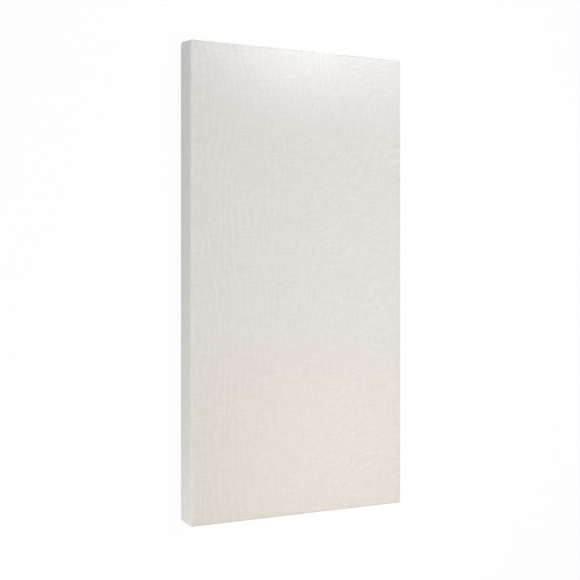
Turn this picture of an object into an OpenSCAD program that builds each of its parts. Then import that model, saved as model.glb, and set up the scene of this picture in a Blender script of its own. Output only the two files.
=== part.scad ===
// Fabric-wrapped acoustic wall panel, lying on its back with the face up.
// A rigid glass wool board has its back covered by a thin mat and is wrapped in one
// sheet of woven cloth. The cloth crosses the face, turns down all four edges, is
// tucked at the corners and is glued in a mitred border on the back.
// Origin: centre of the back. +X across the width, +Y along the length, +Z out of the face.

/* [Panel] */
// Overall width across the face
panel_w = 609.6; // [300:0.1:1220]
// Overall length, over the tucks on both end faces
panel_l = 1219.2; // [600:0.1:2440]
// Overall thickness, from the wall to the face
panel_t = 76.2; // [38:0.1:102]

/* [Edges] */
// Radius of the cloth over the face edges and the upright corners
face_r = 5; // [4:0.5:10]
// Radius of the cloth over the back edges
back_r = 3; // [2:0.5:4]
// Width of the strip along each face edge where the tight cloth has pressed the board down
shoulder_w = 26; // [15:1:40]
// How far the face falls over that strip
shoulder_drop = 1.5; // [0.5:0.1:2]

/* [Cloth] */
// Thickness of the woven cloth
cloth_t = 1; // [0.6:0.1:1.5]
// Width of the border that the cloth covers on the back
return_w = 50; // [30:1:80]
// Depth of the step where one cloth edge lies under the other at a mitre
mitre_step = 0.5; // [0.3:0.1:0.6]
// Distance over which the mitre step fades out
mitre_fade = 14; // [8:1:20]

/* [Corner tucks] */
// How far a tuck stands out of the end face at its folded edge
tuck_rise = 1; // [0.6:0.1:1.5]
// Distance of the folded edge from the side of the panel
tuck_inset = 5; // [5:0.5:12]
// Share of the panel thickness that the tuck reaches along the end face
tuck_reach = 0.95; // [0.6:0.05:1]

/* [Back mat] */
// Thickness of the mat on the back of the board
mat_t = 0.4; // [0.2:0.1:0.6]
// Distance from the side of the panel to the edge of the mat
mat_inset = 12; // [8:1:25]

/* [Hidden] */
// Length of the wrapped board without the tucks on its end faces
wrap_l = panel_l - 2 * tuck_rise;
// Spare length that carries cutting shapes past the surface that they cut
over = 1;
// Radius of the curve by which the face falls along its edges
shoulder_r = (shoulder_w * shoulder_w + shoulder_drop * shoulder_drop) / (2 * shoulder_drop);
// Height of the upright walls, where the round of the face edge begins
wall_top = panel_t - shoulder_r
    + sqrt(pow(shoulder_r - face_r, 2) - pow(shoulder_w - face_r, 2));
$fn = 64;

// Right half of a section: flat face, soft shoulder, round face edge, wall, round back edge.
// inset takes the whole outline inwards, from the outside of the cloth to the board.
module edge_section(half, inset) {
    curve_x = half - shoulder_w;
    curve_z = panel_t - shoulder_r;
    round_x = half - face_r;
    meet_x = curve_x + (round_x - curve_x) * (shoulder_r - inset) / (shoulder_r - face_r);
    translate([0, inset]) square([curve_x, panel_t - 2 * inset]);
    intersection() {
        translate([curve_x, curve_z]) circle(shoulder_r - inset);
        translate([curve_x, inset]) square([meet_x - curve_x, panel_t]);
    }
    translate([round_x, wall_top]) circle(face_r - inset);
    translate([curve_x, back_r]) square([half - inset - curve_x, wall_top - back_r]);
    translate([curve_x, inset]) square([half - back_r - curve_x, back_r]);
    translate([half - back_r, back_r]) circle(back_r - inset);
}

// Whole section, the same on both sides of the middle
module full_section(half, inset) {
    for (side = [0, 1])
        mirror([side, 0]) edge_section(half, inset);
}

// What rounding an upright corner takes off
module corner_trim(inset) {
    translate([panel_w / 2 - face_r, wrap_l / 2 - face_r, -over])
        linear_extrude(panel_t + 2 * over) difference() {
            square(face_r + over);
            circle(face_r - inset);
        }
}

// Block with the section along both pairs of edges and rounded upright corners
module rounded_block(inset) {
    difference() {
        intersection() {
            translate([0, wrap_l / 2 + over, 0]) rotate([90, 0, 0])
                linear_extrude(wrap_l + 2 * over) full_section(panel_w / 2, inset);
            translate([-panel_w / 2 - over, 0, 0]) rotate([90, 0, 90])
                linear_extrude(panel_w + 2 * over) full_section(wrap_l / 2, inset);
        }
        at_corners() corner_trim(inset);
    }
}

// The board inside the cloth, and also the space that the cloth leaves for it
module board_form() {
    rounded_block(cloth_t);
}

// Mat on the back of the board, reaching under the border of the cloth
module mat_form() {
    translate([mat_inset - panel_w / 2, mat_inset - wrap_l / 2, cloth_t])
        cube([panel_w - 2 * mat_inset, wrap_l - 2 * mat_inset, mat_t]);
}

// Opening that the border of the cloth leaves on the back
module back_window() {
    translate([return_w - panel_w / 2, return_w - wrap_l / 2, -over])
        cube([panel_w - 2 * return_w, wrap_l - 2 * return_w, cloth_t + over]);
}

// Tuck at one corner: the spare cloth lies in a triangle under the end face, thickest at
// its folded edge beside the corner and fading out along a slope down to the back
module corner_tuck() {
    reach = tuck_reach * (panel_t - back_r);
    height = wall_top - back_r;
    intersection() {
        translate([panel_w / 2 - tuck_inset, wrap_l / 2 - cloth_t / 2, back_r])
            linear_extrude(height) polygon([
                [0, 0], [0, cloth_t / 2 + tuck_rise], [-reach, cloth_t / 2], [-reach, 0]
            ]);
        translate([panel_w / 2 - tuck_inset, wrap_l / 2 + tuck_rise + over, back_r])
            rotate([90, 0, 0]) linear_extrude(tuck_rise + cloth_t + 2 * over) polygon([
                [0, 0], [0, height], [-reach, 0]
            ]);
    }
}

// Shallow wedge beside one mitre, where the side border dips under the end border
module mitre_dip() {
    run = sqrt(2) * return_w;
    translate([panel_w / 2 - return_w, wrap_l / 2 - return_w, 0]) rotate([0, 0, 45])
        translate([-over, 0, 0]) rotate([90, 0, 90]) linear_extrude(run - back_r) polygon([
            [0, -over], [0, mitre_step], [-mitre_fade, 0], [-mitre_fade, -over]
        ]);
}

// One feature drawn at all four corners of the panel
module at_corners() {
    for (mx = [0, 1], my = [0, 1])
        mirror([mx, 0, 0]) mirror([0, my, 0]) children();
}

module core_board() {
    color([0.80, 0.72, 0.50]) difference() {
        board_form();
        mat_form();
    }
}

module back_mat() {
    color([0.90, 0.89, 0.84]) mat_form();
}

module fabric_cover() {
    color([0.89, 0.87, 0.82]) difference() {
        union() {
            rounded_block(0);
            at_corners() corner_tuck();
        }
        board_form();
        back_window();
        at_corners() mitre_dip();
    }
}

core_board();
back_mat();
fabric_cover();
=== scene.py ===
"""Looks of a fabric-wrapped acoustic wall panel, lying on its back with the face up.

One flat sheet of ivory cloth is cut with its corners off, laid over the board, turned down the
four edges, folded into a tuck at each corner and glued in a mitred border on the back.
All lengths are in metres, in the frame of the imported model.
"""

import logging
import math
from dataclasses import dataclass, field
from enum import Enum
from typing import Any, Callable, Iterable, Sequence

import bpy
import numpy as np
from mathutils import Matrix, Vector, noise

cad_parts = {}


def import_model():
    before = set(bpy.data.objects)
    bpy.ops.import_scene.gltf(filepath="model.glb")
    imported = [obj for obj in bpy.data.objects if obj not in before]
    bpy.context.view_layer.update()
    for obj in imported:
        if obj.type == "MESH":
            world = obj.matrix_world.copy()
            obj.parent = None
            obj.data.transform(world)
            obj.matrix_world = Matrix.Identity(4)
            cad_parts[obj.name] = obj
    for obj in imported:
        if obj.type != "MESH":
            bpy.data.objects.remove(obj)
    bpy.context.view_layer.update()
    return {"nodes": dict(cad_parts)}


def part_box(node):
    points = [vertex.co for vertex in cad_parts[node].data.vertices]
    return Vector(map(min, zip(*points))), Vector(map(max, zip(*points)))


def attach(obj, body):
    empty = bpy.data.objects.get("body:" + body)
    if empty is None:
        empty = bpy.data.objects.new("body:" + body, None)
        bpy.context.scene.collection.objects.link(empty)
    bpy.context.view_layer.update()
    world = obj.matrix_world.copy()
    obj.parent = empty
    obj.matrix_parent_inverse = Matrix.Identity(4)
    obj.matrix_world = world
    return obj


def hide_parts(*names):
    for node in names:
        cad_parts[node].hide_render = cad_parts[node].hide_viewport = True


log = logging.getLogger("acoustic_panel")

MM = 0.001
QUARTER = math.pi / 2
TINY = 0.001 * MM
ABOVE_ZERO = 1e-9
BORDER = 50 * MM
BODY = "root"
FLAT_UV = "flat_cloth"

Colour = tuple[float, float, float]
Place = tuple[float, float, float]


class Border(Enum):
    """The four strips of cloth on the back, named by the panel edge that each one runs along."""

    LEFT = (-1, 0)
    RIGHT = (1, 0)
    NEAR = (0, -1)
    FAR = (0, 1)


class Socket:
    """A shader value, so that shader maths can be written as Python expressions."""

    def __init__(self, graph: "ShaderGraph", output: bpy.types.NodeSocket) -> None:
        """Wraps one output of a node.

        Args:
            graph: the graph that the node belongs to.
            output: the output socket.
        """
        self.graph = graph
        self.output = output

    def _maths(self, operation: str, *values: Any) -> "Socket":
        """Adds a Math node for one operation on this socket and other values."""
        return self.graph.node("ShaderNodeMath", {"operation": operation}, dict(enumerate(values)))

    def __add__(self, other: Any) -> "Socket":
        """Sum."""
        return self._maths("ADD", self, other)

    def __radd__(self, other: Any) -> "Socket":
        """Sum, with the number first."""
        return self._maths("ADD", other, self)

    def __sub__(self, other: Any) -> "Socket":
        """Difference."""
        return self._maths("SUBTRACT", self, other)

    def __rsub__(self, other: Any) -> "Socket":
        """Difference, with the number first."""
        return self._maths("SUBTRACT", other, self)

    def __mul__(self, other: Any) -> "Socket":
        """Product."""
        return self._maths("MULTIPLY", self, other)

    def __rmul__(self, other: Any) -> "Socket":
        """Product, with the number first."""
        return self._maths("MULTIPLY", other, self)

    def __truediv__(self, other: Any) -> "Socket":
        """Quotient."""
        return self._maths("DIVIDE", self, other)

    def __pow__(self, other: Any) -> "Socket":
        """Power."""
        return self._maths("POWER", self, other)

    def __mod__(self, other: Any) -> "Socket":
        """Remainder that is never negative."""
        return self._maths("FLOORED_MODULO", self, other)

    def floor(self) -> "Socket":
        """Next whole number below."""
        return self._maths("FLOOR", self)

    def cosine(self) -> "Socket":
        """Cosine of an angle in radians."""
        return self._maths("COSINE", self)

    def clamped(self) -> "Socket":
        """The value held between 0 and 1."""
        return self.graph.node("ShaderNodeClamp", {}, {"Value": self}, "Result")


class ShaderGraph:
    """Node graph of one material or of the world, built from expressions."""

    def __init__(self, name: str, world: bool = False) -> None:
        """Makes an empty material or world.

        Args:
            name: its name.
            world: True for the world, False for a material.
        """
        self.owner = (bpy.data.worlds if world else bpy.data.materials).new(name)
        self.owner.use_nodes = True
        self.tree = self.owner.node_tree
        self.tree.nodes.clear()
        self.output_kind = "ShaderNodeOutputWorld" if world else "ShaderNodeOutputMaterial"

    def node(
        self,
        kind: str,
        settings: dict[str, Any] | None = None,
        inputs: dict[Any, Any] | None = None,
        output: int | str = 0,
    ) -> Socket:
        """Adds a node.

        Args:
            kind: the node's type.
            settings: its properties, set first.
            inputs: a value or a link for each socket, by name or by index.
            output: the socket to give back.

        Returns:
            The chosen output.
        """
        made = self.tree.nodes.new(kind)
        for name, value in (settings or {}).items():
            setattr(made, name, value)
        for name, value in (inputs or {}).items():
            if isinstance(value, Socket):
                self.tree.links.new(value.output, made.inputs[name])
            else:
                made.inputs[name].default_value = value
        return Socket(self, made.outputs[output])

    def mix(self, share: Any, first: Any, second: Any) -> Socket:
        """Blends two colours.

        Args:
            share: how much of the second colour shows, from 0 to 1.
            first: the colour at 0.
            second: the colour at 1.

        Returns:
            The blended colour.
        """
        inputs = {0: share, 6: _colour(first), 7: _colour(second)}
        return self.node("ShaderNodeMix", {"data_type": "RGBA"}, inputs, 2)

    def scaled(self, colour: Any, amount: Any) -> Socket:
        """Makes a colour lighter or darker.

        Args:
            colour: the colour.
            amount: the factor on all three channels.

        Returns:
            The scaled colour.
        """
        inputs = {0: _rgb(colour), 3: amount}
        return self.node("ShaderNodeVectorMath", {"operation": "SCALE"}, inputs)

    def vector(self, x: Any, y: Any, z: Any = 0.0) -> Socket:
        """Joins three values into a vector."""
        return self.node("ShaderNodeCombineXYZ", {}, {0: x, 1: y, 2: z})

    def parts(self, vector: Socket) -> tuple[Socket, Socket, Socket]:
        """Splits a vector into its three values."""
        first = self.node("ShaderNodeSeparateXYZ", {}, {0: vector})
        outputs = first.output.node.outputs
        return first, Socket(self, outputs[1]), Socket(self, outputs[2])

    def object_place(self) -> Socket:
        """Place of the shaded point in its piece."""
        return self.node("ShaderNodeTexCoord", {}, {}, "Object")

    def cloud(self, place: Socket, scale: float, detail: float = 2.0) -> Socket:
        """Soft noise from 0 to 1.

        Args:
            place: where the noise is read.
            scale: how many clouds there are in a metre.
            detail: how many finer layers are added.

        Returns:
            The noise value.
        """
        inputs = {"Vector": place, "Scale": scale, "Detail": detail, "Roughness": 0.5}
        return self.node("ShaderNodeTexNoise", {"noise_dimensions": "3D"}, inputs, "Fac")

    def bump(self, height: Socket, depth: float, strength: float) -> Socket:
        """Relief for the Normal socket.

        Args:
            height: the height at each point, from about 0 to 1.
            depth: how deep the relief is.
            strength: how strongly it shades, from 0 to 1.

        Returns:
            The tilted normal.
        """
        inputs = {"Strength": strength, "Distance": depth, "Height": height}
        return self.node("ShaderNodeBump", {}, inputs)

    def ray_kinds(self) -> tuple[Socket, Socket]:
        """Rays that see the white surround, and the length of each ray.

        Returns:
            1 for camera, glossy and transmission rays and 0 for others, and the ray's length.
        """
        camera = self.node("ShaderNodeLightPath", {}, {}, "Is Camera Ray")
        outputs = camera.output.node.outputs
        glossy = Socket(self, outputs["Is Glossy Ray"])
        through = Socket(self, outputs["Is Transmission Ray"])
        return (camera + (glossy + through)).clamped(), Socket(self, outputs["Ray Length"])

    def surface(self, inputs: dict[str, Any]) -> bpy.types.Material:
        """Ends the graph in a Principled shader.

        Args:
            inputs: its sockets' values and links.

        Returns:
            The finished material.
        """
        return self.finish(self.node("ShaderNodeBsdfPrincipled", {}, inputs))

    def finish(self, shader: Socket) -> Any:
        """Sends a shader to the output.

        Args:
            shader: the shader.

        Returns:
            The finished material or world.
        """
        output = self.tree.nodes.new(self.output_kind)
        self.tree.links.new(shader.output, output.inputs["Surface"])
        return self.owner


def _rgb(value: Any) -> Any:
    """A colour as three numbers, or the link as it is."""
    return value if isinstance(value, Socket) else tuple(value[:3])


def _colour(value: Any) -> Any:
    """A colour as four numbers, or the link as it is."""
    return value if isinstance(value, Socket) else (*value[:3], 1.0)


@dataclass(frozen=True)
class Clouds:
    """Soft noise on the flat cloth, drawn out across or along it."""

    per_m: float
    squeeze: tuple[float, float] = (1.0, 1.0)
    layer: float = 0.0

    def read(self, g: ShaderGraph, u: Socket, v: Socket) -> Socket:
        """The noise at each point, from 0 to 1.

        Args:
            g: the graph.
            u: the distance across the cloth.
            v: the distance along the cloth.

        Returns:
            The noise value.
        """
        across, along = self.squeeze
        return g.cloud(g.vector(u * across, v * along, self.layer), self.per_m)


@dataclass(frozen=True)
class Ripples:
    """One set of lines in the watered figure: waves to a metre, and how much noise bends them."""

    across: float
    along: float
    drift: float
    quiver: float

    def wave(self, u: Socket, v: Socket, drift: Socket, quiver: Socket) -> Socket:
        """Lightness of the lines.

        Args:
            u: the distance across the cloth.
            v: the distance along the cloth.
            drift: the slow noise.
            quiver: the quick noise.

        Returns:
            A wave from -1 to 1.
        """
        turns = v * self.along + u * self.across + drift * self.drift + quiver * self.quiver
        return (turns * math.tau).cosine()


@dataclass(frozen=True)
class WovenIvory:
    """Plain weave of off-white yarn, matt with a faint sheen, with painted shade in the hollows
    between the yarns.
    """

    yarn: Colour = (0.86, 0.835, 0.78)
    # Colour of the hollows between the yarns: painted shade, shown where the yarn crown is low.
    painted_gap_shade: Colour = (0.70, 0.675, 0.62)
    lightness: float = 0.97
    roughness: float = 0.72
    crown_polish: float = 0.12
    warp_pitch: float = 1.25 * MM
    weft_pitch: float = 1.35 * MM
    crown_spread: float = 0.4
    # How quickly the painted shade between the yarns gives way to the yarn colour across each
    # crown.
    painted_shade_crown_gain: float = 1.15
    relief: float = 0.35 * MM
    yarn_waver: float = 0.35 * MM
    warp_waver: Clouds = Clouds(9.0, (3.0, 1.0))
    weft_waver: Clouds = Clouds(9.0, (1.0, 3.0), 4.0)
    yarn_contrast: float = 0.31
    yarn_step: float = 0.83
    yarn_drifts_per_m: float = 16.0
    slub_contrast: float = 0.085
    slub_step: float = 0.73
    slubs_per_m: float = 42.0
    slub_level: float = 0.58
    slub_edge: float = 6.0
    fleck_contrast: float = 0.13
    flecks: Clouds = Clouds(190.0, layer=13.0)
    water_contrast: float = 0.021
    drift: Clouds = Clouds(3.2, (1.6, 1.0))
    quiver: Clouds = Clouds(16.0, (1.0, 1.4), 9.0)
    patches: Clouds = Clouds(11.0, (1.0, 0.7), 21.0)
    patch_level: float = 0.38
    patch_edge: float = 4.0
    patch_share: float = 0.8
    upright: Ripples = Ripples(across=50.0, along=0.0, drift=6.0, quiver=1.6)
    slanting: Ripples = Ripples(across=-26.0, along=34.0, drift=13.0, quiver=1.2)
    fine: Ripples = Ripples(across=-34.0, along=61.0, drift=22.0, quiver=1.8)
    fine_share: float = 0.45
    turn_per_m: float = 3.2
    turned_in_middle: float = 0.55

    def material(self) -> bpy.types.Material:
        """Builds the cloth's material.

        Returns:
            The material, which reads the flat cloth's own map in metres.
        """
        g = ShaderGraph("ivory_weave")
        u, v, _ = g.parts(g.node("ShaderNodeUVMap", {"uv_map": FLAT_UV}))
        waver_u = (self.warp_waver.read(g, u, v) - 0.5) * (2 * self.yarn_waver)
        waver_v = (self.weft_waver.read(g, u, v) - 0.5) * (2 * self.yarn_waver)
        warp = (u + waver_u) / self.warp_pitch
        weft = (v + waver_v) / self.weft_pitch
        warp_row, weft_row = warp.floor(), weft.floor()
        warp_on_top = (warp_row + weft_row) % 2.0
        across_warp = ((warp - warp_row - 0.5) * math.pi).cosine()
        across_weft = ((weft - weft_row - 0.5) * math.pi).cosine()
        over_warp = across_warp * (across_weft ** self.crown_spread)
        over_weft = across_weft * (across_warp ** self.crown_spread)
        crown = over_weft + (over_warp - over_weft) * warp_on_top
        warp_tone = self._yarn_tone(g, warp_row, v, seed=11.0)
        weft_tone = self._yarn_tone(g, weft_row, u, seed=37.0)
        tone = weft_tone + (warp_tone - weft_tone) * warp_on_top
        flecks = (self.flecks.read(g, u, v) - 0.5) * self.fleck_contrast
        watered = self._watered(g, u, v) * self.water_contrast
        light = self.lightness + tone + flecks + watered
        # Painted shade: where the yarn crown is low, in the hollows between the yarns, the darker
        # gap colour shows.
        base = g.mix((crown * self.painted_shade_crown_gain).clamped(), self.painted_gap_shade, self.yarn)
        return g.surface({
            "Base Color": g.scaled(base, light),
            "Roughness": self.roughness - crown * self.crown_polish,
            "Specular IOR Level": 0.35,
            "Sheen Weight": 0.12,
            "Sheen Roughness": 0.5,
            "Normal": g.bump(crown, self.relief, strength=0.55),
        })

    def _yarn_tone(self, g: ShaderGraph, row: Socket, along: Socket, seed: float) -> Socket:
        """Lightness of one set of yarns, which drifts along each yarn and rises at its slubs.

        Args:
            g: the graph.
            row: the yarn's number.
            along: the distance along the yarn.
            seed: a number that sets the two sets of yarns apart.

        Returns:
            What the yarn adds to the lightness.
        """
        each_place = g.vector(row * self.yarn_step + seed, along * self.yarn_drifts_per_m)
        each = g.cloud(each_place, scale=1.0, detail=1.0) - 0.5
        slub_place = g.vector(row * self.slub_step + seed, along * self.slubs_per_m, 5.0)
        slub = g.cloud(slub_place, scale=1.0, detail=1.0)
        thick = ((slub - self.slub_level) * self.slub_edge).clamped()
        return each * self.yarn_contrast + thick * self.slub_contrast

    def _watered(self, g: ShaderGraph, u: Socket, v: Socket) -> Socket:
        """Faint watered figure, upright on the left, curved on the right, here and there.

        Args:
            g: the graph.
            u: the distance across the cloth.
            v: the distance along the cloth.

        Returns:
            A wave from about -1.5 to 1.5.
        """
        drift, quiver = self.drift.read(g, u, v), self.quiver.read(g, u, v)
        patches = ((self.patches.read(g, u, v) - self.patch_level) * self.patch_edge).clamped()
        to_right = (u * self.turn_per_m + self.turned_in_middle).clamped()
        left, right, fine = (
            lines.wave(u, v, drift, quiver) for lines in (self.upright, self.slanting, self.fine)
        )
        figure = left + (right - left) * to_right + fine * self.fine_share
        return figure * (patches * self.patch_share + (1 - self.patch_share))


@dataclass(frozen=True)
class GlassWool:
    """Compressed glass wool with a resin-hardened skin."""

    pale: Colour = (0.78, 0.66, 0.38)
    deep: Colour = (0.58, 0.44, 0.20)
    resin: Colour = (0.66, 0.52, 0.26)
    resin_share: float = 0.5
    layers_per_m: float = 26.0
    layer_length: float = 4.0
    layer_squeeze: float = 9.0
    fibres_per_m: float = 420.0
    fibre_squeeze: float = 4.0
    layer_relief: float = 0.6
    relief: float = 0.8 * MM

    def material(self) -> bpy.types.Material:
        """Builds the wool's material.

        Returns:
            The material, layered along the board's thickness.
        """
        g = ShaderGraph("glass_wool")
        x, y, z = g.parts(g.object_place())
        layer_place = g.vector(x / self.layer_length, y / self.layer_length, z * self.layer_squeeze)
        layers = g.cloud(layer_place, self.layers_per_m, detail=6.0)
        fibres = g.cloud(g.vector(x, y, z * self.fibre_squeeze), self.fibres_per_m, detail=4.0)
        mottle = g.mix(layers, self.deep, self.pale)
        height = layers * self.layer_relief + fibres * (1 - self.layer_relief)
        return g.surface({
            "Base Color": g.mix(fibres * self.resin_share, mottle, self.resin),
            "Roughness": 0.92,
            "Normal": g.bump(height, self.relief, strength=0.6),
        })


@dataclass(frozen=True)
class GlassTissue:
    """Thin mat of random glass fibres, through which the board shows a little."""

    tissue: Colour = (0.83, 0.80, 0.71)
    board: Colour = (0.68, 0.57, 0.34)
    thin_share: float = 0.55
    patches_per_m: float = 24.0
    strand_share: float = 0.45
    straight_per_m: float = 900.0
    straight_slowing: float = 0.12
    slanted_per_m: float = 760.0
    slanted_squeeze: float = 0.7
    slanted_slowing: float = 0.09
    strand_level: float = 0.56
    strand_edge: float = 9.0
    swirl: float = 6 * MM
    swirls_per_m: float = 60.0
    relief: float = 0.25 * MM

    def material(self) -> bpy.types.Material:
        """Builds the mat's material.

        Returns:
            The material, with fibres lying in all directions.
        """
        g = ShaderGraph("glass_tissue")
        place = g.object_place()
        x, y, _ = g.parts(place)
        swirl = g.cloud(place, self.swirls_per_m, detail=3.0) * self.swirl
        slow, squeeze, slanted_slow = (
            self.straight_slowing, self.slanted_squeeze, self.slanted_slowing
        )
        strands = (
            self._strands(g, x + swirl, y * slow, self.straight_per_m)
            + self._strands(g, x * slow, y + swirl, self.straight_per_m)
            + self._strands(g, (x + y) * squeeze, (x - y) * slanted_slow, self.slanted_per_m)
            + self._strands(g, (x - y) * squeeze, (x + y) * slanted_slow, self.slanted_per_m)
        ) * self.strand_share
        patchy = g.cloud(place, self.patches_per_m, detail=4.0) * self.thin_share
        return g.surface({
            "Base Color": g.mix((strands + patchy).clamped(), self.board, self.tissue),
            "Roughness": 0.8,
            "Normal": g.bump(strands, self.relief, strength=0.5),
        })

    def _strands(self, g: ShaderGraph, x: Socket, y: Socket, per_m: float) -> Socket:
        """Thin bright lines along one direction.

        Args:
            g: the graph.
            x: the first distance, slowed where the strands run along it.
            y: the second distance, slowed where the strands run along it.
            per_m: how many strands there are in a metre.

        Returns:
            A mask that is 1 on a strand.
        """
        streak = g.cloud(g.vector(x, y), per_m)
        return ((streak - self.strand_level) * self.strand_edge).clamped()


@dataclass(frozen=True)
class LooseYarn:
    """Loose ends of the same yarn at the cut edges."""

    yarn: Colour = (0.86, 0.83, 0.77)
    darkest: float = 0.85
    contrast: float = 0.25
    twists_per_m: float = 2500.0

    def material(self) -> bpy.types.Material:
        """Builds the loose yarn's material."""
        g = ShaderGraph("loose_yarn")
        twist = g.cloud(g.object_place(), self.twists_per_m, detail=1.0)
        base = g.scaled(self.yarn, self.darkest + twist * self.contrast)
        return g.surface({"Base Color": base, "Roughness": 0.8, "Sheen Weight": 0.15})


@dataclass(frozen=True)
class PaperSweep:
    """White studio floor with a soft shadow, which shows white from above, nothing from below."""

    paper: float = 0.55
    glow: float = 1.05
    glow_share: float = 0.9
    touching: float = 2.5 * MM

    def material(self) -> bpy.types.Material:
        """Builds the floor's material.

        Returns:
            The material: paper for the light, mostly white for camera and mirror rays, and clear
            from below and for what touches it, so that the panel's back can be looked at.
        """
        g = ShaderGraph("studio_paper")
        seen, length = g.ray_kinds()
        paper = g.node("ShaderNodeBsdfDiffuse", {}, {"Color": (self.paper,) * 3 + (1.0,)})
        white = g.node("ShaderNodeEmission", {}, {"Color": (1.0,) * 4, "Strength": self.glow})
        upper = g.node("ShaderNodeMixShader", {}, {0: seen * self.glow_share, 1: paper, 2: white})
        beneath = g.node("ShaderNodeNewGeometry", {}, {}, "Backfacing")
        near = g.node("ShaderNodeMath", {"operation": "LESS_THAN"}, {0: length, 1: self.touching})
        clear = g.node("ShaderNodeBsdfTransparent")
        parts = {0: (beneath + near).clamped(), 1: upper, 2: clear}
        return g.finish(g.node("ShaderNodeMixShader", {}, parts))


@dataclass(frozen=True)
class WhiteSurround:
    """World that shows white and gives a weak even light."""

    tint: Colour = (0.95, 1.0, 0.87)
    level: float = 0.338

    def world(self) -> bpy.types.World:
        """Builds the world."""
        g = ShaderGraph("white_surround", world=True)
        seen, _ = g.ray_kinds()
        inputs = {"Color": (*self.tint, 1.0), "Strength": self.level}
        light = g.node("ShaderNodeBackground", {}, inputs)
        white = g.node("ShaderNodeBackground", {}, {"Color": (1.0,) * 4, "Strength": 1.0})
        return g.finish(g.node("ShaderNodeMixShader", {}, {0: seen, 1: light, 2: white}))


def deselect_all() -> None:
    """Leaves object mode with nothing selected."""
    if bpy.context.object is not None and bpy.context.object.mode != "OBJECT":
        bpy.ops.object.mode_set(mode="OBJECT")
    bpy.ops.object.select_all(action="DESELECT")


def activate(piece: bpy.types.Object) -> None:
    """Selects one object alone and makes it the active one."""
    deselect_all()
    piece.select_set(True)
    bpy.context.view_layer.objects.active = piece


def apply_place(piece: bpy.types.Object) -> None:
    """Puts an object's place, turn and size into its mesh."""
    activate(piece)
    bpy.ops.object.transform_apply(location=True, rotation=True, scale=True)


def thicken(piece: bpy.types.Object, thickness: float) -> None:
    """Gives a sheet its thickness, on the inner side of its faces.

    Args:
        piece: the sheet.
        thickness: its thickness.
    """
    activate(piece)
    solid = piece.modifiers.new("solidify", "SOLIDIFY")
    solid.thickness = thickness
    solid.offset = -1.0
    bpy.ops.object.modifier_apply(modifier=solid.name)


def edit(piece: bpy.types.Object, steps: Callable[[], Any]) -> None:
    """Runs some operators on an object in edit mode.

    Args:
        piece: the object.
        steps: the operators to run.
    """
    activate(piece)
    bpy.ops.object.mode_set(mode="EDIT")
    steps()
    bpy.ops.object.mode_set(mode="OBJECT")


def select_faces(piece: bpy.types.Object, chosen: Iterable[bool]) -> None:
    """Selects some faces of a mesh, in object mode, and nothing else.

    Args:
        piece: the object.
        chosen: whether each face is selected, in the mesh's order.
    """
    mesh = piece.data
    for group in (mesh.vertices, mesh.edges):
        group.foreach_set("select", [False] * len(group))
    mesh.polygons.foreach_set("select", list(map(bool, chosen)))
    bpy.context.tool_settings.mesh_select_mode = (False, False, True)


def points_of(piece: bpy.types.Object) -> np.ndarray:
    """The places of a mesh's vertices, one row each."""
    flat = np.zeros(len(piece.data.vertices) * 3)
    piece.data.vertices.foreach_get("co", flat)
    return flat.reshape(-1, 3)


def set_points(piece: bpy.types.Object, points: np.ndarray) -> None:
    """Moves a mesh's vertices to new places."""
    piece.data.vertices.foreach_set("co", points.astype(np.float32).ravel())
    piece.data.update()


def smooth_step(value: np.ndarray) -> np.ndarray:
    """Eases from 0 to 1 and stays there."""
    held = np.clip(value, 0.0, 1.0)
    return held * held * (3 - 2 * held)


def waver(x: np.ndarray, y: np.ndarray, scale: float, seed: float) -> np.ndarray:
    """Smooth random height from about -1 to 1.

    Args:
        x: the first coordinate of each point.
        y: the second coordinate of each point.
        scale: how many waves there are in a metre.
        seed: a number that gives another pattern.

    Returns:
        The height at each point.
    """
    places = zip(x.tolist(), y.tolist())
    return np.array([noise.noise(Vector((a * scale, b * scale, seed))) for a, b in places])


def both_ways(half: Sequence[float]) -> list[float]:
    """Mirrors places that start at the middle, so that they run from side to side."""
    return [-place for place in reversed(half[1:])] + list(half)


def dress(piece: bpy.types.Object, material: bpy.types.Material) -> None:
    """Gives an object one material in place of those that it has."""
    piece.data.materials.clear()
    piece.data.materials.append(material)


@dataclass
class PanelSizes:
    """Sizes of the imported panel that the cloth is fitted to."""

    half_width: float
    half_length: float
    thickness: float
    window_half_width: float
    window_half_length: float

    @classmethod
    def from_frame(cls) -> "PanelSizes":
        """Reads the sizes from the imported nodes.

        Returns:
            The sizes, where the half length leaves out the tucks on the end faces.
        """
        low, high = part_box("fabric_cover")
        _, board_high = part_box("core_board")
        cloth_wall = high.x - board_high.x
        half_length = board_high.y + cloth_wall
        return cls(high.x, half_length, high.z - low.z, high.x - BORDER, half_length - BORDER)


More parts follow.
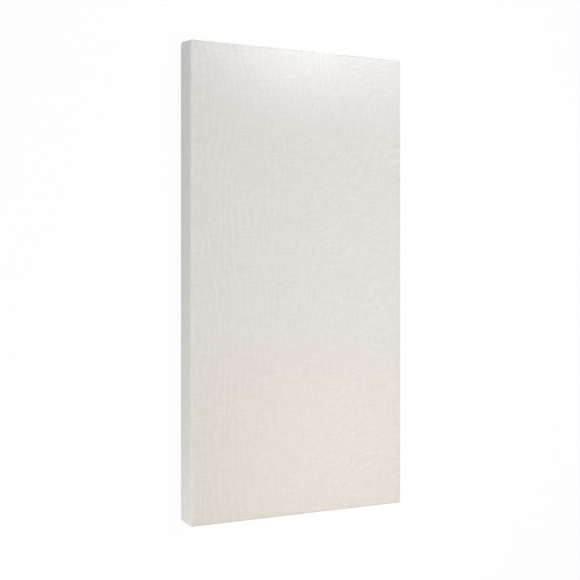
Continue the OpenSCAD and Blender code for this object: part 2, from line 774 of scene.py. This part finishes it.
@dataclass
class ClothPattern:
    """The flat sheet: where its grid lines lie and how its corners are cut.

    Distances a and b count outwards from the lines where the sheet begins to turn over the long
    sides and over the ends.
    """

    sizes: PanelSizes
    face_round: float = 5 * MM
    back_round: float = 3 * MM
    shoulder_width: float = 26 * MM
    shoulder_drop: float = 1.5 * MM
    border: float = BORDER
    fold_round: float = 0.45 * MM
    spare_underlap: float = 11 * MM
    tab: float = 2 * MM
    face_step: float = 9 * MM
    wall_step: float = 5 * MM
    bend_steps: int = 5
    tab_steps: int = 2
    border_steps: int = 10
    crease_steps: int = 4

    @property
    def face_x(self) -> float:
        """Half width of the flat face."""
        return self.sizes.half_width - self.face_round

    @property
    def face_y(self) -> float:
        """Half length of the flat face."""
        return self.sizes.half_length - self.face_round

    @property
    def shoulder_round(self) -> float:
        """Radius of the curve by which the face falls along its edges."""
        return (self.shoulder_width**2 + self.shoulder_drop**2) / (2 * self.shoulder_drop)

    @property
    def wall_top(self) -> float:
        """Height at which the round of the face edge ends in the wall."""
        run = self.shoulder_width - self.face_round
        rise = math.sqrt((self.shoulder_round - self.face_round) ** 2 - run**2)
        return self.sizes.thickness - self.shoulder_round + rise

    @property
    def roll_end(self) -> float:
        """Distance at which the sheet has turned down."""
        return QUARTER * self.face_round

    @property
    def wall_end(self) -> float:
        """Distance at which the sheet begins to turn under."""
        return self.roll_end + self.wall_top - self.back_round

    @property
    def turn_end(self) -> float:
        """Distance at which the sheet lies on the back."""
        return self.wall_end + QUARTER * self.back_round

    @property
    def cut_edge(self) -> float:
        """Distance of the sheet's cut edge."""
        return self.turn_end + self.border - self.back_round

    @property
    def corner_cut(self) -> float:
        """Sum of both distances along the line that takes off a corner of the sheet."""
        return self.turn_end + self.tab + self.spare_underlap

    def face_drop(self, out: np.ndarray) -> np.ndarray:
        """How far the face and its rounded edge lie below the middle of the face.

        Args:
            out: distance outwards from the axis of the edge's round.

        Returns:
            The drop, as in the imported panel's section.
        """
        run = self.shoulder_width - self.face_round
        meet = run * self.face_round / (self.shoulder_round - self.face_round)
        along = np.clip(out, -run, meet) + run
        curve = self.shoulder_round - np.sqrt(self.shoulder_round**2 - along**2)
        across = np.clip(out, 0, self.face_round)
        edge = self.sizes.thickness - self.wall_top - np.sqrt(self.face_round**2 - across**2)
        return np.where(out < meet, curve, edge)

    def flat_size(self) -> tuple[float, float]:
        """Width and length of the sheet before it is wrapped."""
        return 2 * (self.face_x + self.cut_edge), 2 * (self.face_y + self.cut_edge)

    def flat_area(self) -> float:
        """Area of the sheet with its four corners cut off."""
        width, length = self.flat_size()
        leg = 2 * self.cut_edge - self.corner_cut
        return width * length - 4 * leg * leg / 2

    def creases(self) -> list[float]:
        """Sums of a and b on the lines along which the end border bends back at a mitre."""
        first = self.turn_end + self.face_round - self.back_round
        bend = math.pi * self.fold_round * math.sqrt(2)
        return [first + bend * k / self.crease_steps for k in range(self.crease_steps + 1)]

    def lines(self, face_half: float) -> list[float]:
        """Places of the grid lines along one half of the sheet.

        Args:
            face_half: half of the flat face in that direction.

        Returns:
            The places, from the middle outwards.
        """
        fold = math.pi * self.fold_round
        wall_steps = round((self.wall_end - self.roll_end) / self.wall_step)
        stretches = [
            (-face_half, 0.0, round(face_half / self.face_step)),
            (0.0, fold, self.bend_steps),
            (fold, self.roll_end, self.bend_steps),
            (self.roll_end, self.wall_end, wall_steps),
            (self.wall_end, self.turn_end, self.bend_steps),
            (self.turn_end, self.turn_end + self.tab, self.tab_steps),
            (self.turn_end + self.tab, self.cut_edge, self.border_steps),
        ]
        places = [0.0]
        for start, end, count in stretches:
            places += [face_half + start + (end - start) * k / count for k in range(1, count + 1)]
        return places


@dataclass
class Wrap:
    """How far each point of the sheet has gone round the board, as arrays of one length.

    Attributes:
        a: distance outwards past the long side's turn.
        b: distance outwards past the end's turn.
        out: how far out the sheet is from the line of its turn.
        down: how far down it is.
        under: share of the turn on to the back, from 0 to 1.
        radius: plan radius of the corner at this point.
        fold: radius of the visible fold.
        gap: gap between folded layers.
        depth: how deep the tuck is.
    """

    a: np.ndarray
    b: np.ndarray
    out: np.ndarray
    down: np.ndarray
    under: np.ndarray
    radius: np.ndarray
    fold: np.ndarray
    gap: np.ndarray
    depth: np.ndarray

    @property
    def reach(self) -> np.ndarray:
        """Distance outwards past the nearer turn."""
        return np.maximum(self.a, self.b)

    @property
    def on_end(self) -> np.ndarray:
        """Whether the point belongs to an end, and not to a long side."""
        return self.b >= self.a

    @property
    def stack(self) -> np.ndarray:
        """Height of the folded layers."""
        return self.gap + 2 * self.fold


@dataclass
class FabricCover:
    """The sheet of cloth, wrapped over the board."""

    pattern: ClothPattern
    thickness: float = 0.45 * MM
    layer_gap: float = 0.04 * MM
    gap_share: float = 0.1
    fold_share: float = 0.8
    tuck_blend: float = 7 * MM
    least_hidden: float = 8 * MM
    loose_rise: float = 8.4 * MM
    loose_growth: float = 1.6
    loose_spread: float = 38 * MM
    loose_settling: float = 24 * MM
    loose_hold: float = 0.25
    mitre_fade: float = 22 * MM
    ridge_fade: float = 10 * MM
    wave_fade: float = 25 * MM
    slow_wave: float = 0.22 * MM
    quick_wave: float = 0.06 * MM
    glue_press: float = 0.45 * MM
    glue_fade: float = 14 * MM
    highest_border: float = 0.95 * MM
    on_back: float = 0.999
    edge_waver: float = 0.7 * MM
    edge_fade: float = 8 * MM
    cut_margin: float = 30 * MM
    crease_reach: float = 70 * MM

    def build(self, material: bpy.types.Material) -> bpy.types.Object:
        """Cuts, wraps and thickens the cloth.

        Args:
            material: the cloth's material.

        Returns:
            The finished piece.
        """
        sheet = self._cut_flat()
        self._map_flat(sheet)
        flat = points_of(sheet)
        set_points(sheet, self.wrapped(flat[:, 0], flat[:, 1]))
        activate(sheet)
        bpy.ops.object.shade_smooth()
        thicken(sheet, self.thickness)
        dress(sheet, material)
        return sheet

    def _cut_flat(self) -> bpy.types.Object:
        """Makes the flat sheet with its grid lines and takes off its corners."""
        p = self.pattern
        across, along = both_ways(p.lines(p.face_x)), both_ways(p.lines(p.face_y))
        columns, rows = len(across) - 1, len(along) - 1
        deselect_all()
        bpy.ops.mesh.primitive_grid_add(x_subdivisions=columns, y_subdivisions=rows, size=1.0)
        sheet = bpy.context.object
        sheet.name = "ivory_cloth"
        unit = points_of(sheet)
        column = np.rint((unit[:, 0] + 0.5) * columns).astype(int)
        row = np.rint((unit[:, 1] + 0.5) * rows).astype(int)
        placed = [np.array(across)[column], np.array(along)[row], 0 * unit[:, 2]]
        set_points(sheet, np.stack(placed, axis=1))
        for sx in (-1, 1):
            for sy in (-1, 1):
                self._cut_corner(sheet, sx, sy)
                self._crease_mitre(sheet, sx, sy)
        return sheet

    def _distances(
        self, sheet: bpy.types.Object, sx: int, sy: int
    ) -> tuple[np.ndarray, np.ndarray]:
        """Distances a and b of the middle of each face, as seen from one corner."""
        centres = np.zeros(3 * len(sheet.data.polygons))
        sheet.data.polygons.foreach_get("center", centres)
        centres = centres.reshape(-1, 3)
        p = self.pattern
        return sx * centres[:, 0] - p.face_x, sy * centres[:, 1] - p.face_y

    def _slanted_cuts(
        self, sheet: bpy.types.Object, sx: int, sy: int, sums: Sequence[float], trim: bool
    ) -> None:
        """Cuts the selected faces along slanted lines, with the other faces hidden.

        Args:
            sheet: the flat sheet.
            sx: side of the corner across the sheet.
            sy: side of the corner along the sheet.
            sums: for each line, the sum of a and b on it.
            trim: whether what lies outside the line is taken away.
        """
        p = self.pattern

        def cut_all() -> None:
            """Makes each cut."""
            bpy.ops.mesh.hide(unselected=True)
            for total in sums:
                bpy.ops.mesh.select_all(action="SELECT")
                bpy.ops.mesh.bisect(
                    plane_co=(sx * (p.face_x + total), sy * p.face_y, 0.0),
                    plane_no=(sx * math.sqrt(0.5), sy * math.sqrt(0.5), 0.0),
                    clear_outer=trim,
                )
            bpy.ops.mesh.reveal(select=False)

        edit(sheet, cut_all)

    def _cut_corner(self, sheet: bpy.types.Object, sx: int, sy: int) -> None:
        """Cuts one corner off along a slanted line, and clears the small square beside the back.

        Args:
            sheet: the flat sheet.
            sx: side of the corner across the sheet.
            sy: side of the corner along the sheet.
        """
        p = self.pattern
        a, b = self._distances(sheet, sx, sy)
        select_faces(sheet, a + b > p.corner_cut - self.cut_margin)
        self._slanted_cuts(sheet, sx, sy, [p.corner_cut], True)
        a, b = self._distances(sheet, sx, sy)
        select_faces(sheet, (np.minimum(a, b) > 0) & (np.maximum(a, b) > p.turn_end + p.tab))
        edit(sheet, lambda: bpy.ops.mesh.delete(type="FACE"))

    def _crease_mitre(self, sheet: bpy.types.Object, sx: int, sy: int) -> None:
        """Adds the lines on which the end border is folded back along a mitre.

        Args:
            sheet: the flat sheet.
            sx: side of the corner across the sheet.
            sy: side of the corner along the sheet.
        """
        a, b = self._distances(sheet, sx, sy)
        select_faces(sheet, (a < 0) & (a > -self.crease_reach) & (b > self.pattern.turn_end))
        self._slanted_cuts(sheet, sx, sy, self.pattern.creases(), False)

    @staticmethod
    def _map_flat(sheet: bpy.types.Object) -> None:
        """Keeps each point's place on the flat sheet as its map, in metres."""
        layer = sheet.data.uv_layers.active or sheet.data.uv_layers.new()
        layer.name = FLAT_UV
        flat = points_of(sheet)[:, :2]
        corners = np.zeros(len(sheet.data.loops), dtype=int)
        sheet.data.loops.foreach_get("vertex_index", corners)
        layer.data.foreach_set("uv", flat[corners].astype(np.float32).ravel())

    def wrapped(self, u: np.ndarray, v: np.ndarray) -> np.ndarray:
        """Where each point of the flat sheet lies once the board is wrapped.

        Args:
            u: places across the flat sheet.
            v: places along the flat sheet.

        Returns:
            The points' places in the panel's frame.
        """
        p = self.pattern
        side_x, side_y = np.where(u < 0, -1.0, 1.0), np.where(v < 0, -1.0, 1.0)
        w = self._follow(np.abs(u) - p.face_x, np.abs(v) - p.face_y)
        x, y, lift = (
            np.where(w.on_end, end, side)
            for end, side in zip(self._end_points(w), self._side_points(w))
        )
        loose = (side_x < 0) & (side_y > 0)
        y = y + np.where(loose, self._loose_rise(w, x, y), 0.0)
        z = p.sizes.thickness - w.down + lift
        z = z - self._soft_ridge(w) + self._face_waves(w, u, v)
        z = z + self._glued_edge(w)
        z = np.where(w.under > self.on_back, np.minimum(z, self.highest_border), z)
        wander = self._edge_wander(w, u, v)
        x = np.where(w.on_end, x, x + wander)
        y = np.where(w.on_end, y + wander, y)
        return np.stack([side_x * x, side_y * y, z], axis=1)

    def _follow(self, a: np.ndarray, b: np.ndarray) -> Wrap:
        """Follows the sheet over the edges of the board.

        Args:
            a: distance outwards past the long side's turn.
            b: distance outwards past the end's turn.

        Returns:
            How far each point has gone round.
        """
        p = self.pattern
        reach = np.maximum(a, b)
        over = np.clip(reach, 0, p.roll_end) / p.face_round
        out = np.where(reach < 0, reach, p.face_round * np.sin(over))
        down = p.face_drop(out) + np.clip(reach - p.roll_end, 0, p.wall_end - p.roll_end)
        turn = np.clip(reach - p.wall_end, 0, p.turn_end - p.wall_end) / p.back_round
        out = out - p.back_round * (1 - np.cos(turn))
        down = down + p.back_round * np.sin(turn)
        out = out - np.maximum(reach - p.turn_end, 0)
        radius = np.where(reach < 0, 0.0, np.maximum(out, 0.0))
        spare = 2 * reach - QUARTER * radius
        fold = np.minimum(p.fold_round, self.fold_share * np.maximum(spare, 0) / math.pi)
        fold = np.maximum(fold, ABOVE_ZERO)
        gap = np.minimum(self.layer_gap, fold * self.gap_share)
        depth = np.maximum(spare - math.pi * fold, 0) / 2
        return Wrap(a, b, out, down, turn / QUARTER, radius, fold, gap, depth)

    def _side_points(self, w: Wrap) -> tuple[np.ndarray, np.ndarray, np.ndarray]:
        """Places of the points on a long side, round its corners and a little way on to the ends.

        Args:
            w: how far each point has gone round.

        Returns:
            x, y and the lift off the plain wrap, for the quadrant where x and y are positive.
        """
        p = self.pattern
        arc = QUARTER * w.radius
        angle = np.clip(w.b, 0, arc) / np.maximum(w.radius, ABOVE_ZERO)
        past = np.maximum(w.b - arc, 0)
        x = np.where(w.b <= 0, p.face_x + w.out, p.face_x + w.radius * np.cos(angle) - past)
        y = np.where(w.b <= 0, p.face_y + w.b, p.face_y + w.radius * np.sin(angle))
        from_mitre = (p.face_round - w.b) - np.maximum(p.sizes.half_width - x, p.face_round)
        near = 1 - smooth_step(np.maximum(from_mitre, 0) / self.mitre_fade)
        return x, y, near * w.under * w.stack

    def _end_points(self, w: Wrap) -> tuple[np.ndarray, np.ndarray, np.ndarray]:
        """Places of the points on an end, and of the layers folded under it at its corners.

        Args:
            w: how far each point has gone round.

        Returns:
            x, y and the lift off the plain wrap, for the quadrant where x and y are positive.
        """
        p = self.pattern
        a, b, fold, under = w.a, w.b, w.fold, w.under
        inset_x = p.face_round - a
        inset_y = p.back_round + (b - p.turn_end)
        slanted = (inset_y > p.face_round + TINY) & (a <= TINY)
        inside = np.where(slanted, (inset_x - inset_y) / math.sqrt(2), -a)
        turned = np.clip(-inside / fold, 0, math.pi)
        beyond = np.maximum(-inside - math.pi * fold, 0)
        deep = np.maximum(beyond - w.depth, 0)
        shift = np.where(inside > 0, -inside, fold * np.sin(turned) - beyond + 2 * deep)
        middle = (inset_x + inset_y) / 2
        mitre_x = p.sizes.half_width - (middle - shift / math.sqrt(2))
        mitre_y = p.sizes.half_length - (middle + shift / math.sqrt(2))
        fold_drop = fold * (1 - np.cos(turned))
        layer = np.where(beyond > w.depth, 0.0, w.stack - fold_drop)
        hidden = np.minimum(w.depth, np.maximum(p.corner_cut - b, self.least_hidden))
        cover = 1 - smooth_step((-a - hidden) / self.tuck_blend + 0.5)
        outer = np.where(a <= 0, layer * cover, layer)
        settled = (a <= 0) & (under > 0)
        offset = np.where(settled, outer * (1 - under), outer - w.stack * under)
        normal_y, normal_z = np.cos(under * QUARTER), -np.sin(under * QUARTER)
        x = np.where(slanted, mitre_x, p.face_x + shift)
        y = np.where(slanted, mitre_y, p.face_y + w.out + offset * normal_y)
        lift = np.where(slanted, fold_drop, offset * normal_z)
        flat = b <= 0
        return (
            np.where(flat, p.face_x + a, x),
            np.where(flat, p.face_y + b, y),
            np.where(flat, 0.0, lift),
        )

    def _loose_rise(self, w: Wrap, x: np.ndarray, y: np.ndarray) -> np.ndarray:
        """How far the far left tuck stands proud of the end, as it does in the photograph.

        Args:
            w: how far each point has gone round.
            x: place across the panel.
            y: place along the panel.

        Returns:
            What is added to y.
        """
        p = self.pattern
        inward = np.maximum(p.face_x - x, 0) / self.loose_spread
        near = np.exp(-inward * inward)
        toward_end = smooth_step((y - p.face_y) / p.face_round)
        growth = np.clip(w.down / p.sizes.thickness, 0, 1) ** self.loose_growth
        held = 1 - self.loose_hold * w.under
        settled = 1 - smooth_step((w.reach - p.turn_end) / self.loose_settling)
        return self.loose_rise * growth * near * toward_end * held * settled

    def _soft_ridge(self, w: Wrap) -> np.ndarray:
        """How much the ridge between two shoulders is pulled down near a corner of the face."""
        first, second = self.pattern.face_drop(w.a), self.pattern.face_drop(w.b)
        both = np.cbrt(first**3 + second**3) - np.maximum(first, second)
        return both * smooth_step(-w.reach / self.ridge_fade)

    def _face_waves(self, w: Wrap, u: np.ndarray, v: np.ndarray) -> np.ndarray:
        """Very shallow waves that an even board and hand-pulled cloth leave on the face."""
        slow = waver(u, v, scale=5.0, seed=1.7) * self.slow_wave
        quick = waver(u, v, scale=16.0, seed=5.1) * self.quick_wave
        return smooth_step(-w.reach / self.wave_fade) * (slow + quick)

    def _glued_edge(self, w: Wrap) -> np.ndarray:
        """How far the cut edge of the border is pressed down on to the mat."""
        inward = (w.reach - self.pattern.cut_edge) / self.glue_fade
        return self.glue_press * smooth_step(inward + 1)

    def _edge_wander(self, w: Wrap, u: np.ndarray, v: np.ndarray) -> np.ndarray:
        """How far the hand-cut edge of the border wanders from a straight line."""
        at_edge = smooth_step((w.reach - self.pattern.cut_edge) / self.edge_fade + 1)
        return waver(u, v, scale=22.0, seed=3.3) * self.edge_waver * at_edge


@dataclass
class FrayedEdge:
    """Loose yarn ends along the cut edges of the border."""

    sizes: PanelSizes
    spacing: float = 5.5 * MM
    spacing_jitter: float = 0.4
    yarn_radius: float = 0.16 * MM
    yarn_sides: int = 5
    bends: tuple[float, ...] = (0.25, 0.5, 0.75)
    shortest: float = 1.2 * MM
    longest: float = 4.5 * MM
    sweep: float = 0.7
    curl: float = 0.9
    bend_share: float = 0.6
    held_under: float = 0.6 * MM
    height: float = 0.7 * MM
    lift: float = 0.25 * MM
    seed: int = 11
    ends: list[bpy.types.Object] = field(default_factory=list)

    def build(self, material: bpy.types.Material) -> bpy.types.Object:
        """Makes one yarn end, copies it along the four borders and joins the copies.

        Args:
            material: the yarn's material.

        Returns:
            The joined piece.
        """
        model = self._model_end()
        draw = np.random.default_rng(self.seed)
        for border in Border:
            self._place_along(border, model, draw)
        activate(model)
        bpy.ops.object.delete()
        for end in self.ends:
            end.select_set(True)
        bpy.context.view_layer.objects.active = self.ends[0]
        bpy.ops.object.join()
        joined = bpy.context.object
        joined.name = "frayed_yarn_ends"
        apply_place(joined)
        bpy.ops.object.shade_smooth()
        dress(joined, material)
        return joined

    def _model_end(self) -> bpy.types.Object:
        """Makes one straight yarn end of unit length along +X, cut where it can bend."""
        deselect_all()
        bpy.ops.mesh.primitive_cylinder_add(
            vertices=self.yarn_sides, radius=self.yarn_radius, depth=1.0,
            location=(0.5, 0.0, 0.0), rotation=(0.0, QUARTER, 0.0),
        )
        end = bpy.context.object
        apply_place(end)
        for place in self.bends:
            select_faces(end, [True] * len(end.data.polygons))
            edit(end, lambda: bpy.ops.mesh.bisect(plane_co=(place, 0, 0), plane_no=(1, 0, 0)))
        return end

    def _place_along(
        self, border: Border, model: bpy.types.Object, draw: np.random.Generator
    ) -> None:
        """Copies the yarn end along one border, each copy bent its own way.

        Args:
            border: the border.
            model: the yarn end to copy.
            draw: the random numbers.
        """
        across, along = border.value
        run = self.sizes.window_half_length if across else self.sizes.window_half_width
        straight = points_of(model)
        s = straight[:, 0]
        for k in range(1, int(2 * run / self.spacing)):
            jitter = draw.uniform(-self.spacing_jitter, self.spacing_jitter) * self.spacing
            t = -run + k * self.spacing + jitter
            length = self.shortest + (self.longest - self.shortest) * draw.random() ** 2
            sweep = draw.uniform(-self.sweep, self.sweep)
            curl = draw.uniform(-self.curl, self.curl)
            inward = s * length - self.held_under
            aside = t + straight[:, 1] + length * (sweep * s + curl * s * s) * self.bend_share
            up = self.height + straight[:, 2] + self.lift * s * s
            if across:
                placed = [across * (self.sizes.window_half_width - inward), aside, up]
            else:
                placed = [aside, along * (self.sizes.window_half_length - inward), up]
            copy = model.copy()
            copy.data = model.data.copy()
            bpy.context.collection.objects.link(copy)
            set_points(copy, np.stack(placed, axis=1))
            self.ends.append(copy)


@dataclass
class BackMat:
    """Thin glass tissue on the back of the board, seen inside the border."""

    step: float = 12 * MM
    unevenness: float = 0.12 * MM

    def build(self, material: bpy.types.Material) -> bpy.types.Object:
        """Lays the tissue over the slightly uneven back.

        Args:
            material: the tissue's material.

        Returns:
            The finished piece.
        """
        low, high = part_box("back_mat")
        size = high - low
        deselect_all()
        bpy.ops.mesh.primitive_grid_add(
            x_subdivisions=round(size.x / self.step), y_subdivisions=round(size.y / self.step),
            size=1.0, location=((low.x + high.x) / 2, (low.y + high.y) / 2, low.z),
        )
        mat = bpy.context.object
        mat.name = "glass_tissue_mat"
        mat.scale = (size.x, size.y, 1.0)
        apply_place(mat)
        select_faces(mat, [True] * len(mat.data.polygons))
        edit(mat, bpy.ops.mesh.flip_normals)
        points = points_of(mat)
        uneven = waver(points[:, 0], points[:, 1], scale=28.0, seed=8.2)
        points[:, 2] += self.unevenness * (1 + uneven)
        set_points(mat, points)
        thicken(mat, size.z)
        bpy.ops.object.shade_smooth()
        dress(mat, material)
        return mat


class LampKind(Enum):
    """What a studio lamp is, by the name that the light has in Blender."""

    BOX = "AREA"
    SPOT = "SPOT"


@dataclass(frozen=True)
class Lamp:
    """One studio lamp: a soft box, with a narrow beam where one is given, or a spot.

    Attributes:
        name: its name.
        place: where it hangs.
        aim: the point that it is turned to.
        size: width and height of a box. A spot's radius is the first of them.
        power: its power in watts.
        colour: its colour.
        beam_deg: width of its beam.
        kind: box or spot.
    """

    name: str
    place: Place
    aim: Place
    size: tuple[float, float]
    power: float
    colour: Colour
    beam_deg: float = 180.0
    kind: LampKind = LampKind.BOX

    def build(self) -> None:
        """Hangs the lamp and turns it to its aim."""
        deselect_all()
        bpy.ops.object.light_add(type=self.kind.value, location=self.place)
        lamp = bpy.context.object
        lamp.name = self.name
        if self.kind is LampKind.SPOT:
            lamp.data.spot_size = math.radians(self.beam_deg)
            lamp.data.spot_blend = 1.0
            lamp.data.shadow_soft_size = self.size[0]
        else:
            lamp.data.shape = "RECTANGLE"
            lamp.data.size, lamp.data.size_y = self.size
            lamp.data.spread = math.radians(self.beam_deg)
        lamp.data.energy = self.power
        lamp.data.color = self.colour
        direction = Vector(self.aim) - Vector(self.place)
        lamp.rotation_euler = direction.to_track_quat("-Z", "Y").to_euler()


LAMPS = (
    Lamp("right_strip", (1.1, 0.0, 1.3), (0.1, 0.0, 0.0), (0.5, 1.8), 3.6, (0.81, 1.0, 0.97)),
    Lamp("far_box", (0.3, 1.2, 1.3), (0.1, 0.5, 0.07), (0.8, 0.3), 9.4, (0.82, 0.80, 1.0)),
    Lamp("far_band", (0.15, 1.25, 1.5), (0.1, 0.75, 0.07), (0.7, 0.08), 0.25, (0.79, 0.88, 1.0),
         beam_deg=24.0),
    Lamp("far_spot", (0.1, 1.6, 1.5), (-0.02, 0.74, 0.076), (0.06, 0.06), 20.6, (0.79, 0.92, 1.0),
         beam_deg=18.9, kind=LampKind.SPOT),
    Lamp("near_box", (0.3, -0.9, 2.2), (0.0, -0.6, 0.0), (1.0, 0.6), 14.1, (1.0, 0.87, 0.79)),
    Lamp("near_spot", (0.15, -1.5, 1.5), (0.08, -0.62, 0.076), (0.06, 0.06), 8.2,
         (1.0, 0.97, 0.72), beam_deg=25.0, kind=LampKind.SPOT),
    Lamp("near_strip", (0.25, -0.25, 1.3), (0.05, -0.62, 0.05), (0.6, 0.3), 3.6,
         (0.90, 0.85, 1.0)),
    Lamp("side_strip", (-2.2, 0.2, 0.35), (-0.3, 0.2, 0.03), (1.8, 0.4), 15.2, (0.79, 0.87, 1.0)),
    Lamp("side_near", (-1.0, -1.0, 0.15), (-0.3, -0.6, 0.03), (0.3, 0.2), 2.6, (1.0, 0.89, 0.92)),
    Lamp("under_box", (0.0, 0.0, -2.2), (0.0, 0.0, 0.0), (2.0, 2.0), 24.0, (1.0, 1.0, 1.0)),
)


@dataclass
class Studio:
    """Floor, lamps and camera."""

    lamps: tuple[Lamp, ...] = LAMPS
    floor_size: float = 30.0
    floor_gap: float = 0.5 * MM
    camera_place: Place = (-1.0905, 0.0394, 2.3733)
    camera_turn_deg: float = 24.75
    focal_px: float = 969.4
    frame_px: float = 580.0
    horizon_px: float = 267.4
    sensor: float = 36.0

    def build(self) -> None:
        """Sets up everything that isn't the panel."""
        self._floor()
        self._camera()
        bpy.context.scene.world = WhiteSurround().world()
        for lamp in self.lamps:
            lamp.build()

    def _floor(self) -> None:
        """Lays the paper floor just under the panel."""
        deselect_all()
        bpy.ops.mesh.primitive_plane_add(size=self.floor_size, location=(0, 0, -self.floor_gap))
        floor = bpy.context.object
        floor.name = "studio_floor"
        dress(floor, PaperSweep().material())

    def _camera(self) -> None:
        """Looks down on the face from the photograph's angle."""
        deselect_all()
        bpy.ops.object.camera_add(location=self.camera_place)
        camera = bpy.context.object
        camera.name = "product_camera"
        turn = math.radians(self.camera_turn_deg)
        right = Vector((math.cos(turn), 0.0, math.sin(turn)))
        up = Vector((0.0, 1.0, 0.0))
        axes = Matrix((right, up, right.cross(up))).transposed()
        camera.rotation_euler = axes.to_euler()
        camera.data.sensor_width = self.sensor
        camera.data.lens = self.focal_px / self.frame_px * self.sensor
        camera.data.shift_y = (self.horizon_px - self.frame_px / 2) / self.frame_px
        bpy.context.scene.camera = camera


def report_piece(piece: bpy.types.Object) -> None:
    """Logs a piece's name and how many faces it has."""
    log.info("%s: %d faces", piece.name, len(piece.data.polygons))


def main() -> None:
    """Builds the panel and its studio."""
    logging.basicConfig(level=logging.INFO, format="%(name)s: %(message)s")
    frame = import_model()
    bpy.context.scene.view_settings.view_transform = "Standard"
    Studio().build()

    sizes = PanelSizes.from_frame()
    pattern = ClothPattern(sizes)
    cloth = FabricCover(pattern).build(WovenIvory().material())
    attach(cloth, BODY)
    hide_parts("fabric_cover")
    pattern.flat_size()
    pattern.flat_area()
    report_piece(cloth)

    ends = FrayedEdge(sizes).build(LooseYarn().material())
    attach(ends, BODY)
    report_piece(ends)

    mat = BackMat().build(GlassTissue().material())
    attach(mat, BODY)
    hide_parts("back_mat")
    report_piece(mat)

    board = frame["nodes"]["core_board"]
    dress(board, GlassWool().material())
    report_piece(board)

    deselect_all()


if __name__ == "__main__":
    main()
